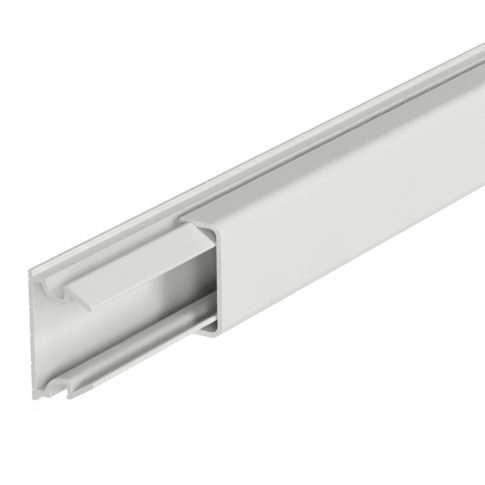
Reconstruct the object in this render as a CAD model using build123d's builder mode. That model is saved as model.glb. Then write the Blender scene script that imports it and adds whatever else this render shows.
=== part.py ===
"""Cable trunking, two plastic profiles: a base with clip rails and a cover that clips and slides on them.

Millimetres. X runs along the length, Y across the height, Z out from the wall face.
Each section is symmetric about Y = 0, so its half outline is drawn once and mirrored.
"""
import os
from math import acos, cos, degrees, radians, sin, tan

from build123d import *

os.makedirs("parts", exist_ok=True)

# Whole product
length = 2000.0
height = 35.0
depth = 21.0
cover_slide = 56.5

# Base plate
plate_thickness = 1.3
plate_front_radius = 0.3
plate_back_radius = 0.4
groove_count = 5
groove_pitch = 7.45
groove_width = 0.9
groove_depth = 0.35

# Base rail: a shelf standing on the plate, then a round trough that ends in an upright.
# Insets are measured from the plate's edge toward the middle of the section.
strip_flat = 1.0
shelf_inset = 1.6
shelf_end_inset = 1.5
shelf_inner_inset = 3.1
shelf_root_inset = 3.05
shelf_inner_radius = 0.3
shelf_root_radius = 0.4
trough_inset = 2.2
trough_z = 9.4
trough_radius = 3.85
trough_wall = 1.5
trough_rim_radius = 0.35
trough_corner_radius = 0.25
upright_z = 10.65
upright_thickness = 1.55
upright_flat = 1.5

# Lip at the upright's end, which the cover clips behind
lip_inset = 2.35
lip_flat = 0.9
lip_chamfer = 0.25
lip_radius = 0.5
barb_inset = 3.1
nook_inset = 3.9
nook_recess = 0.55
lean_inset = 5.4

# Wing, the sloping arm that reaches from the lip to behind the cover's front
wing_angle = 31.8
wing_thickness = 1.4
wing_clearance = 0.5
wing_tip_radius = 0.2
wing_under_radius = 0.6
wing_foot_radius = 0.3

# Cover
cover_wall = 1.5
cover_inset = 1.65
cover_corner_radius = 3.85
cover_inner_radius = 2.0
leg_thickness = 1.5
leg_end_z = 8.05
leg_end_radius = 0.2
catch_length = 2.55
clip_clearance = 0.08

# Places that follow from the sizes above
half = height / 2
shelf_foot_radius = shelf_inset - plate_front_radius - strip_flat
trough_under_radius = trough_radius + trough_wall
trough_floor_inset = trough_inset + trough_radius
trough_under_inset = trough_inset + trough_under_radius
shelf_end_angle = degrees(acos((shelf_end_inset - trough_inset) / trough_radius))
shelf_root_angle = degrees(acos((shelf_root_inset - trough_inset) / trough_under_radius))
upright_inner_z = upright_z + upright_thickness
lip_z = upright_z + lip_chamfer
wing_root_z = lip_z + lip_flat

# The wing ends in a flat that faces the cover's front
wing_cos = cos(radians(wing_angle))
wing_slope = tan(radians(wing_angle))
cover_inner_z = depth - cover_wall
tip_z = cover_inner_z - wing_clearance
tip_inset = lip_inset + (tip_z - wing_root_z) * wing_slope
tip_under_inset = tip_inset + wing_thickness / wing_cos
wing_foot_inset = tip_under_inset - (tip_z - upright_inner_z) * wing_slope

# The upright's inner side is flat by the wing's foot and rounds off into the trough's underside
upright_corner_radius = trough_under_inset - wing_foot_inset - upright_flat

# The cover's leg is thinned where it passes over the lip and then follows the wing's slope
leg_inner_inset = cover_inset + leg_thickness
recess_inset = lip_inset - clip_clearance
slope_shift = clip_clearance / wing_cos
recess_z = wing_root_z + (recess_inset - lip_inset + slope_shift) / wing_slope
full_leg_z = wing_root_z + (leg_inner_inset - lip_inset + slope_shift) / wing_slope

base_x = -(length + cover_slide) / 2
cover_x = base_x + cover_slide


def at(inset, z):
    """Sketch point at an inset from the plate's edge and a height above the wall face."""
    return (half - inset, z)


def trough_at(radius, angle):
    """Point on an arc of the trough, the angle turning from its bottom toward the shelf."""
    return at(trough_inset + radius * cos(radians(angle)), trough_z - radius * sin(radians(angle)))


def corners(section, *places):
    """Vertices of a mirrored section that lie on the given places, both halves."""
    return [v for v in section.vertices()
            if any(abs(abs(v.X) - y) < 1e-4 and abs(v.Y - z) < 1e-4 for y, z in places)]


# Base profile
with BuildPart() as base:
    with BuildSketch(Plane.YZ.offset(base_x)) as base_section:
        with BuildLine():
            Polyline((0, 0), at(0, 0), at(0, plate_thickness),
                     at(shelf_inset, plate_thickness), trough_at(trough_radius, shelf_end_angle))
            ThreePointArc(trough_at(trough_radius, shelf_end_angle),
                          trough_at(trough_radius, shelf_end_angle / 2), trough_at(trough_radius, 0))
            Polyline(trough_at(trough_radius, 0), at(trough_floor_inset, upright_z),
                     at(lean_inset, upright_z),
                     at(nook_inset, upright_z + nook_recess), at(barb_inset, upright_z),
                     at(lip_inset + lip_chamfer, upright_z), at(lip_inset, lip_z),
                     at(lip_inset, wing_root_z), at(tip_inset, tip_z), at(tip_under_inset, tip_z),
                     at(wing_foot_inset, upright_inner_z), at(trough_under_inset, upright_inner_z),
                     trough_at(trough_under_radius, 0))
            ThreePointArc(trough_at(trough_under_radius, 0),
                          trough_at(trough_under_radius, shelf_root_angle / 2),
                          trough_at(trough_under_radius, shelf_root_angle))
            Polyline(trough_at(trough_under_radius, shelf_root_angle),
                     at(shelf_inner_inset, plate_thickness), (0, plate_thickness), (0, 0))
        make_face()
        mirror(about=Plane.YZ)
        fillet(corners(base_section, at(0, 0)), plate_back_radius)
        fillet(corners(base_section, at(0, plate_thickness)), plate_front_radius)
        fillet(corners(base_section, at(shelf_inset, plate_thickness)), shelf_foot_radius)
        fillet(corners(base_section, at(shelf_inner_inset, plate_thickness)), shelf_inner_radius)
        fillet(corners(base_section, trough_at(trough_radius, shelf_end_angle)), trough_rim_radius)
        fillet(corners(base_section, trough_at(trough_under_radius, shelf_root_angle)), shelf_root_radius)
        fillet(corners(base_section, at(trough_floor_inset, upright_z)), trough_corner_radius)
        fillet(corners(base_section, at(lip_inset, wing_root_z)), lip_radius)
        fillet(corners(base_section, at(trough_under_inset, upright_inner_z)), upright_corner_radius)
        fillet(corners(base_section, at(wing_foot_inset, upright_inner_z)), wing_foot_radius)
        fillet(corners(base_section, at(tip_inset, tip_z)), wing_tip_radius)
        fillet(corners(base_section, at(tip_under_inset, tip_z)), wing_under_radius)
        with GridLocations(groove_pitch, 0, groove_count, 1):
            Polygon((-groove_width / 2, 0), (groove_width / 2, 0), (0, groove_depth),
                    align=None, mode=Mode.SUBTRACT)
    extrude(amount=length)

# Cover profile, slid along the base by cover_slide
with BuildPart() as cover:
    with BuildSketch(Plane.YZ.offset(cover_x)) as cover_section:
        with BuildLine():
            Polyline((0, depth), at(cover_inset, depth), at(cover_inset, leg_end_z),
                     at(leg_inner_inset, leg_end_z),
                     at(recess_inset, leg_end_z + catch_length), at(recess_inset, recess_z),
                     at(leg_inner_inset, full_leg_z), at(leg_inner_inset, cover_inner_z),
                     (0, cover_inner_z), (0, depth))
        make_face()
        mirror(about=Plane.YZ)
        fillet(corners(cover_section, at(cover_inset, depth)), cover_corner_radius)
        fillet(corners(cover_section, at(leg_inner_inset, cover_inner_z)), cover_inner_radius)
        fillet(corners(cover_section, at(cover_inset, leg_end_z), at(leg_inner_inset, leg_end_z)),
               leg_end_radius)
    extrude(amount=length)

base.part.label = "trunking_base"
cover.part.label = "trunking_cover"
export_step(base.part, "parts/trunking_base.step")
export_step(cover.part, "parts/trunking_cover.step")
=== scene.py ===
"""Cable trunking on a white floor: fine profiles in place of the coarse CAD meshes, with materials of
extruded plastic, soft studio light and the photograph's camera. Metres, in the CAD's frame."""
from math import acos, atan2, ceil, cos, pi, radians, sin, tan

import bmesh
import bpy
from mathutils import Matrix, Vector


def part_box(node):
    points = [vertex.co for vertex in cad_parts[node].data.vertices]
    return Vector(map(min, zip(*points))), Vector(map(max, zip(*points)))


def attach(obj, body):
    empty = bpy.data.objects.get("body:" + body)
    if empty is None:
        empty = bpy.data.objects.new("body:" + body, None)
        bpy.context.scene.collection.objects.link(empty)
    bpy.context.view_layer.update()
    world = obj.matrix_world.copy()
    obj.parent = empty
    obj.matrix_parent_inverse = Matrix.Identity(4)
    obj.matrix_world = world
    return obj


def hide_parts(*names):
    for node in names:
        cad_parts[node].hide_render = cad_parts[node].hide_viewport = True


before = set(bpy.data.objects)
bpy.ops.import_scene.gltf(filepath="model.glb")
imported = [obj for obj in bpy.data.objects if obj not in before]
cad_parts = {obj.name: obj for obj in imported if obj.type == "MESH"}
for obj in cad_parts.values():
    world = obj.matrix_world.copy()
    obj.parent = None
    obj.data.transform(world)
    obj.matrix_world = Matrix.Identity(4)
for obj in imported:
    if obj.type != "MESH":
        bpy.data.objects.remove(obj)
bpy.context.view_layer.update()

MM = 0.001

# Sizes of the two profiles, in millimetres and named as in the CAD. Insets run from the plate's edge
# toward the middle of the section, heights from the wall face.
HALF_HEIGHT = 17.5
DEPTH = 21.0

PLATE_THICKNESS = 1.3
PLATE_FRONT_RADIUS = 0.3
PLATE_BACK_RADIUS = 0.4
GROOVE_PITCH = 7.45
GROOVE_WIDTH = 0.9
GROOVE_DEPTH = 0.35

STRIP_FLAT = 1.0
SHELF_INSET = 1.6
SHELF_END_INSET = 1.5
SHELF_INNER_INSET = 3.1
SHELF_ROOT_INSET = 3.05
SHELF_INNER_RADIUS = 0.3
SHELF_ROOT_RADIUS = 0.4

TROUGH_INSET = 2.2
TROUGH_Z = 9.4
TROUGH_RADIUS = 3.85
TROUGH_WALL = 1.5
TROUGH_RIM_RADIUS = 0.35
TROUGH_CORNER_RADIUS = 0.25

UPRIGHT_Z = 10.65
UPRIGHT_THICKNESS = 1.55
UPRIGHT_FLAT = 1.5
LIP_INSET = 2.35
LIP_FLAT = 0.9
LIP_CHAMFER = 0.25
LIP_RADIUS = 0.5
BARB_INSET = 3.1
NOOK_INSET = 3.9
NOOK_RECESS = 0.55
LEAN_INSET = 5.4

WING_ANGLE = radians(31.8)
WING_THICKNESS = 1.4
WING_CLEARANCE = 0.5
WING_TIP_RADIUS = 0.2
WING_UNDER_RADIUS = 0.6
WING_FOOT_RADIUS = 0.3

COVER_WALL = 1.5
COVER_INSET = 1.65
COVER_CORNER_RADIUS = 3.85
COVER_INNER_RADIUS = 2.0
LEG_THICKNESS = 1.5
LEG_END_Z = 8.05
LEG_END_RADIUS = 0.2
CATCH_LENGTH = 2.55
CLIP_CLEARANCE = 0.08

# Heights that both profiles need
LIP_Z = UPRIGHT_Z + LIP_CHAMFER
WING_ROOT_Z = LIP_Z + LIP_FLAT
COVER_INNER_Z = DEPTH - COVER_WALL

# How finely the arcs are drawn: the step of a rounding in radians, and the steps of the trough's arcs
ARC_STEP = 0.12
FEWEST_ARC_STEPS = 3
TROUGH_STEPS = 18

# Softening of the sawn ends in millimetres, and the angle from which an edge is shaded sharp
END_SOFTENING = 0.02
LARGEST_MITRE = 2.0
SHARP_ANGLE = radians(24)


def at(inset, z):
    """Section point (y, z) at an inset from the plate's edge."""
    return Vector((HALF_HEIGHT - inset, z))


def rounded(points):
    """Corners (point, radius) as a polyline whose corners are arcs of their radius."""
    out = []
    for i, (corner, radius) in enumerate(points):
        if radius <= 0 or i in (0, len(points) - 1):
            out.append(corner)
            continue
        back = (points[i - 1][0] - corner).normalized()
        ahead = (points[i + 1][0] - corner).normalized()
        half_turn = acos(max(-1.0, min(1.0, back.dot(ahead)))) / 2
        centre = corner + (back + ahead).normalized() * (radius / sin(half_turn))
        first = corner + back * (radius / tan(half_turn)) - centre
        last = corner + ahead * (radius / tan(half_turn)) - centre
        start = atan2(first.y, first.x)
        sweep = (atan2(last.y, last.x) - start + pi) % (2 * pi) - pi
        steps = max(FEWEST_ARC_STEPS, ceil(abs(sweep) / ARC_STEP))
        for k in range(steps + 1):
            angle = start + sweep * k / steps
            out.append(centre + Vector((cos(angle), sin(angle))) * radius)
    return out


def trough_at(radius, turn):
    """Point on an arc of the trough, the turn running from its bottom toward the shelf."""
    return at(TROUGH_INSET + radius * cos(turn), TROUGH_Z - radius * sin(turn))


def groove(y):
    """The corners of a groove in the wall face, none of them rounded."""
    return [(Vector((y - GROOVE_WIDTH / 2, 0)), 0), (Vector((y, GROOVE_DEPTH)), 0),
            (Vector((y + GROOVE_WIDTH / 2, 0)), 0)]


def base_half():
    """Half outline of the base, from the middle groove round to the middle of its inner face."""
    under_radius = TROUGH_RADIUS + TROUGH_WALL
    under_inset = TROUGH_INSET + under_radius
    end_turn = acos((SHELF_END_INSET - TROUGH_INSET) / TROUGH_RADIUS)
    root_turn = acos((SHELF_ROOT_INSET - TROUGH_INSET) / under_radius)
    inner_z = UPRIGHT_Z + UPRIGHT_THICKNESS
    tip_z = COVER_INNER_Z - WING_CLEARANCE
    tip_inset = LIP_INSET + (tip_z - WING_ROOT_Z) * tan(WING_ANGLE)
    tip_under_inset = tip_inset + WING_THICKNESS / cos(WING_ANGLE)
    foot_inset = tip_under_inset - (tip_z - inner_z) * tan(WING_ANGLE)
    shelf_foot_radius = SHELF_INSET - PLATE_FRONT_RADIUS - STRIP_FLAT
    upright_corner_radius = under_inset - foot_inset - UPRIGHT_FLAT

    plate = groove(0)[1:] + groove(GROOVE_PITCH) + groove(2 * GROOVE_PITCH)
    plate += [(at(0, 0), PLATE_BACK_RADIUS), (at(0, PLATE_THICKNESS), PLATE_FRONT_RADIUS),
              (at(SHELF_INSET, PLATE_THICKNESS), shelf_foot_radius)]
    # The arcs leave out the steps next to the rim and to the root, where the rounding takes their room
    trough = [(trough_at(TROUGH_RADIUS, end_turn), TROUGH_RIM_RADIUS)]
    trough += [(trough_at(TROUGH_RADIUS, end_turn * k / TROUGH_STEPS), 0)
               for k in reversed(range(TROUGH_STEPS - 2))]
    lip = [(at(TROUGH_INSET + TROUGH_RADIUS, UPRIGHT_Z), TROUGH_CORNER_RADIUS),
           (at(LEAN_INSET, UPRIGHT_Z), 0), (at(NOOK_INSET, UPRIGHT_Z + NOOK_RECESS), 0),
           (at(BARB_INSET, UPRIGHT_Z), 0), (at(LIP_INSET + LIP_CHAMFER, UPRIGHT_Z), 0),
           (at(LIP_INSET, LIP_Z), 0)]
    wing = [(at(LIP_INSET, WING_ROOT_Z), LIP_RADIUS), (at(tip_inset, tip_z), WING_TIP_RADIUS),
            (at(tip_under_inset, tip_z), WING_UNDER_RADIUS),
            (at(foot_inset, inner_z), WING_FOOT_RADIUS)]
    under = [(at(under_inset, inner_z), upright_corner_radius)]
    under += [(trough_at(under_radius, root_turn * k / TROUGH_STEPS), 0)
              for k in range(TROUGH_STEPS - 1)]
    under += [(trough_at(under_radius, root_turn), SHELF_ROOT_RADIUS),
              (at(SHELF_INNER_INSET, PLATE_THICKNESS), SHELF_INNER_RADIUS),
              (Vector((0, PLATE_THICKNESS)), 0)]
    return rounded(plate + trough + lip + wing + under)


def cover_half():
    """Half outline of the cover, from the middle of its front round to the middle of its inner face."""
    inner_inset = COVER_INSET + LEG_THICKNESS
    recess_inset = LIP_INSET - CLIP_CLEARANCE
    shift = CLIP_CLEARANCE / cos(WING_ANGLE)
    recess_z = WING_ROOT_Z + (recess_inset - LIP_INSET + shift) / tan(WING_ANGLE)
    full_leg_z = WING_ROOT_Z + (inner_inset - LIP_INSET + shift) / tan(WING_ANGLE)
    return rounded([(Vector((0, DEPTH)), 0), (at(COVER_INSET, DEPTH), COVER_CORNER_RADIUS),
                    (at(COVER_INSET, LEG_END_Z), LEG_END_RADIUS),
                    (at(inner_inset, LEG_END_Z), LEG_END_RADIUS),
                    (at(recess_inset, LEG_END_Z + CATCH_LENGTH), 0), (at(recess_inset, recess_z), 0),
                    (at(inner_inset, full_leg_z), 0),
                    (at(inner_inset, COVER_INNER_Z), COVER_INNER_RADIUS),
                    (Vector((0, COVER_INNER_Z)), 0)])


def shrunk(ring, distance):
    """The closed ring moved inward by a distance, corner by corner."""
    area = sum(p.x * q.y - q.x * p.y for p, q in zip(ring, ring[1:] + ring[:1]))
    side = 1 if area > 0 else -1
    out = []
    for i, point in enumerate(ring):
        before = (point - ring[i - 1]).normalized()
        after = (ring[(i + 1) % len(ring)] - point).normalized()
        normal_before = Vector((-before.y, before.x)) * side
        normal_after = Vector((-after.y, after.x)) * side
        normal = (normal_before + normal_after).normalized()
        out.append(point + normal * (distance / max(1 / LARGEST_MITRE, normal.dot(normal_before))))
    return out


def profile(name, half, x_near, x_far, materials):
    """An extruded piece of a mirrored half outline. Material 0 is its skin and 1 its sawn ends."""
    ring = list(half) + [Vector((-p.x, p.y)) for p in reversed(half) if p.x > 0]
    inner = shrunk(ring, END_SOFTENING)
    soft = END_SOFTENING * MM
    bm = bmesh.new()
    outlines = ((x_near, inner), (x_near + soft, ring), (x_far - soft, ring), (x_far, inner))
    rows = [[bm.verts.new((x, p.x * MM, p.y * MM)) for p in points] for x, points in outlines]
    for row, after in zip(rows, rows[1:]):
        for i in range(len(ring)):
            j = (i + 1) % len(ring)
            bm.faces.new((row[i], row[j], after[j], after[i])).smooth = True
    for row in (rows[0], rows[-1]):
        bm.faces.new(row).material_index = 1
    bmesh.ops.recalc_face_normals(bm, faces=bm.faces)
    mesh = bpy.data.meshes.new(name)
    bm.to_mesh(mesh)
    bm.free()
    mesh.set_sharp_from_angle(angle=SHARP_ANGLE)
    for material in materials:
        mesh.materials.append(material)
    obj = bpy.data.objects.new(name, mesh)
    bpy.context.scene.collection.objects.link(obj)
    return obj


NODE_COLUMN_WIDTH = 220
NODE_ROW_HEIGHT = 170


def node(tree, kind, column, row, **inputs):
    """A new shader node, at a place in the editor's grid. Inputs are set by name, with _ for a space."""
    made = tree.nodes.new(kind)
    made.location = (column * NODE_COLUMN_WIDTH, -row * NODE_ROW_HEIGHT)
    for key, value in inputs.items():
        made.inputs[key.replace("_", " ")].default_value = value
    return made


def shifted(colour, factor):
    """The colour made a little darker or lighter, with an alpha of 1."""
    return (*(min(1, channel * factor) for channel in colour), 1)


# What all the plastic has in common: its gloss, the faint clouds of its compound and its fine grain
PLASTIC_IOR = 1.53
PLASTIC_SPECULAR = 0.4
ROUGHNESS_SPREAD = 0.05
CLOUD_SCALE = 38.0
CLOUD_DARK, CLOUD_LIGHT = 0.985, 1.012
CLOUD_RANGE = (0.3, 0.7)
GRAIN_SCALE = 5200.0
GRAIN_STRENGTH, GRAIN_HEIGHT = 0.05, 0.00002
LINE_HEIGHT = 0.00004

# Hair-fine die lines along the length on the skin, and slanted saw strokes on a cut end
DIE_LINE_SCALE = (1.2, 1400, 1400)
SAW_STROKE_SCALE = (900, 1500, 240)
SAW_STROKE_SLANT = radians(24)


def plastic(name, colour, roughness, line_strength, line_scale, line_slant=0):
    """Extruded white plastic with fine lines of the given scale and slant."""
    material = bpy.data.materials.new(name)
    material.use_nodes = True
    tree = material.node_tree
    tree.nodes.clear()
    link = tree.links.new
    place = node(tree, "ShaderNodeTexCoord", 0, 1).outputs["Object"]

    mapping = node(tree, "ShaderNodeMapping", 1, 0, Scale=line_scale, Rotation=(line_slant, 0, 0))
    lines = node(tree, "ShaderNodeTexNoise", 2, 0, Scale=1.0, Detail=4.0)
    cloud = node(tree, "ShaderNodeTexNoise", 2, 2, Scale=CLOUD_SCALE, Detail=3.0)
    grain = node(tree, "ShaderNodeTexNoise", 2, 4, Scale=GRAIN_SCALE, Detail=2.0)
    link(place, mapping.inputs["Vector"])
    link(mapping.outputs["Vector"], lines.inputs["Vector"])
    link(place, cloud.inputs["Vector"])
    link(place, grain.inputs["Vector"])

    tint = node(tree, "ShaderNodeValToRGB", 3, 2)
    link(cloud.outputs["Fac"], tint.inputs["Fac"])
    dark, light = tint.color_ramp.elements
    dark.position, light.position = CLOUD_RANGE
    dark.color = shifted(colour, CLOUD_DARK)
    light.color = shifted(colour, CLOUD_LIGHT)
    rough = node(tree, "ShaderNodeMapRange", 3, 0,
                 To_Min=roughness - ROUGHNESS_SPREAD, To_Max=roughness + ROUGHNESS_SPREAD)
    link(lines.outputs["Fac"], rough.inputs["Value"])

    fine = node(tree, "ShaderNodeBump", 3, 4, Strength=GRAIN_STRENGTH, Distance=GRAIN_HEIGHT)
    link(grain.outputs["Fac"], fine.inputs["Height"])
    bump = node(tree, "ShaderNodeBump", 4, 4, Strength=line_strength, Distance=LINE_HEIGHT)
    link(lines.outputs["Fac"], bump.inputs["Height"])
    link(fine.outputs["Normal"], bump.inputs["Normal"])

    bsdf = node(tree, "ShaderNodeBsdfPrincipled", 5, 1,
                IOR=PLASTIC_IOR, Specular_IOR_Level=PLASTIC_SPECULAR)
    link(tint.outputs["Color"], bsdf.inputs["Base Color"])
    link(rough.outputs["Result"], bsdf.inputs["Roughness"])
    link(bump.outputs["Normal"], bsdf.inputs["Normal"])
    out = node(tree, "ShaderNodeOutputMaterial", 7, 1)
    link(bsdf.outputs["BSDF"], out.inputs["Surface"])
    return material


skin = plastic("white_plastic_skin", colour=(0.71, 0.71, 0.694), roughness=0.60,
               line_strength=0.10, line_scale=DIE_LINE_SCALE)
sawn = plastic("white_plastic_sawn", colour=(0.68, 0.68, 0.664), roughness=0.70,
               line_strength=0.18, line_scale=SAW_STROKE_SCALE, line_slant=SAW_STROKE_SLANT)

base_low, base_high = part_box("trunking_base")
cover_low, cover_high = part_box("trunking_cover")
base = profile("base_profile", base_half(), base_low.x, base_high.x, (skin, sawn))
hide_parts("trunking_base")
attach(base, "base")
cover = profile("cover_profile", cover_half(), cover_low.x, cover_high.x, (skin, sawn))
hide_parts("trunking_cover")
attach(cover, "cover")


def seen_white(tree, hidden, seen):
    """Mixes to the seen shader for rays from the camera or by way of gloss or glass, and to the
    hidden one for the light that falls on the object."""
    path = node(tree, "ShaderNodeLightPath", 0, 0)
    first = node(tree, "ShaderNodeMath", 1, 0)
    second = node(tree, "ShaderNodeMath", 2, 0)
    first.operation = second.operation = "MAXIMUM"
    tree.links.new(path.outputs["Is Camera Ray"], first.inputs[0])
    tree.links.new(path.outputs["Is Glossy Ray"], first.inputs[1])
    tree.links.new(first.outputs[0], second.inputs[0])
    tree.links.new(path.outputs["Is Transmission Ray"], second.inputs[1])
    mix = node(tree, "ShaderNodeMixShader", 3, 1)
    tree.links.new(second.outputs[0], mix.inputs[0])
    tree.links.new(hidden.outputs[0], mix.inputs[1])
    tree.links.new(seen.outputs[0], mix.inputs[2])
    return mix


# Floor, just under the object: white where it is seen, with the object's shadow kept faintly
FLOOR_HALF_SIZE = 30.0
FLOOR_Z = -0.00005
FLOOR_BOUNCE = (0.25, 0.25, 0.25, 1)
FLOOR_SHADOW = (0.16, 0.16, 0.16, 1)
FLOOR_GLOW = 0.84

floor_mesh = bpy.data.meshes.new("floor")
floor_mesh.from_pydata([(x * FLOOR_HALF_SIZE, y * FLOOR_HALF_SIZE, FLOOR_Z)
                        for x, y in ((-1, -1), (1, -1), (1, 1), (-1, 1))], [], [(0, 1, 2, 3)])
floor = bpy.data.objects.new("floor", floor_mesh)
bpy.context.scene.collection.objects.link(floor)

floor_material = bpy.data.materials.new("floor_white")
floor_material.use_nodes = True
tree = floor_material.node_tree
tree.nodes.clear()
bounce = node(tree, "ShaderNodeBsdfDiffuse", 1, 1, Color=FLOOR_BOUNCE)
shade = node(tree, "ShaderNodeBsdfDiffuse", 1, 2, Color=FLOOR_SHADOW)
glow = node(tree, "ShaderNodeEmission", 1, 3, Strength=FLOOR_GLOW)
both = node(tree, "ShaderNodeAddShader", 2, 2)
tree.links.new(shade.outputs[0], both.inputs[0])
tree.links.new(glow.outputs[0], both.inputs[1])
out = node(tree, "ShaderNodeOutputMaterial", 4, 1)
tree.links.new(seen_white(tree, bounce, both).outputs[0], out.inputs["Surface"])
floor_mesh.materials.append(floor_material)

# World: white where it is seen, and no light from it on the object, which the suns light alone
world = bpy.data.worlds.new("studio")
bpy.context.scene.world = world
world.use_nodes = True
tree = world.node_tree
tree.nodes.clear()
unlit = node(tree, "ShaderNodeBackground", 1, 1, Color=(1, 1, 1, 1), Strength=0.0)
white = node(tree, "ShaderNodeBackground", 1, 2, Color=(1, 1, 1, 1), Strength=1.0)
out = node(tree, "ShaderNodeOutputWorld", 4, 1)
tree.links.new(seen_white(tree, unlit, white).outputs[0], out.inputs["Surface"])


def soft_sun(name, tilt, turn, level, angle=13):
    """A wide sun. Its direction is tilted from the front's normal and turned about it from +X, in
    degrees, and a surface that faces it is lit at the level."""
    tilt, turn = radians(tilt), radians(turn)
    data = bpy.data.lights.new(name, "SUN")
    data.energy = level * pi
    data.angle = radians(angle)
    lamp = bpy.data.objects.new(name, data)
    direction = Vector((sin(tilt) * cos(turn), sin(tilt) * sin(turn), cos(tilt)))
    lamp.rotation_mode = "QUATERNION"
    lamp.rotation_quaternion = direction.to_track_quat("Z", "Y")
    bpy.context.scene.collection.objects.link(lamp)


# Key lights from the near end's side
soft_sun("key_high", tilt=45, turn=160, level=0.300)
soft_sun("key_low", tilt=60, turn=180, level=0.330)
# Lights near the front's normal
soft_sun("front_high", tilt=15, turn=120, level=0.190)
soft_sun("front_top", tilt=28, turn=85, level=0.170)
soft_sun("front_low", tilt=18, turn=315, level=0.165)
# Low lights along the wall, and one along the length for the far ends
soft_sun("edge_top", tilt=66, turn=90, level=0.130)
soft_sun("graze_top", tilt=84, turn=90, level=0.180)
soft_sun("graze_low", tilt=74, turn=240, level=0.310)
soft_sun("far_end", tilt=90, turn=0, level=0.450, angle=4)

# Camera of the photograph, fitted to its edges. It was fitted in a frame with its origin at the
# base's near end, on the plate's lower edge.
IMAGE_SIZE = 485
FOCAL_PIXELS = 3551.7
SENSOR_WIDTH = 36.0
YAW, PITCH, ROLL = radians(32.530), radians(19.199), radians(-0.709)
CAMERA_PLACE = Vector((-674.920, 332.010, 494.073))

right_level = Vector((sin(YAW), 0, cos(YAW)))
forward_level = Vector((cos(YAW), 0, -sin(YAW)))
up_level = Vector((0, 1, 0))
forward = forward_level * cos(PITCH) - up_level * sin(PITCH)
up_pitched = up_level * cos(PITCH) + forward_level * sin(PITCH)
right = right_level * cos(ROLL) + up_pitched * sin(ROLL)
up = up_pitched * cos(ROLL) - right_level * sin(ROLL)
place = (CAMERA_PLACE - Vector((0, HALF_HEIGHT, 0))) * MM + Vector((base_low.x, 0, 0))

camera_data = bpy.data.cameras.new("camera")
camera_data.sensor_width = SENSOR_WIDTH
camera_data.lens = FOCAL_PIXELS / IMAGE_SIZE * SENSOR_WIDTH
camera_data.clip_start = 0.05
camera_data.clip_end = 100.0
camera = bpy.data.objects.new("camera", camera_data)
camera.matrix_world = Matrix.Translation(place) @ Matrix((right, up, -forward)).transposed().to_4x4()
bpy.context.scene.collection.objects.link(camera)
bpy.context.scene.camera = camera

bpy.context.scene.view_settings.view_transform = "Standard"
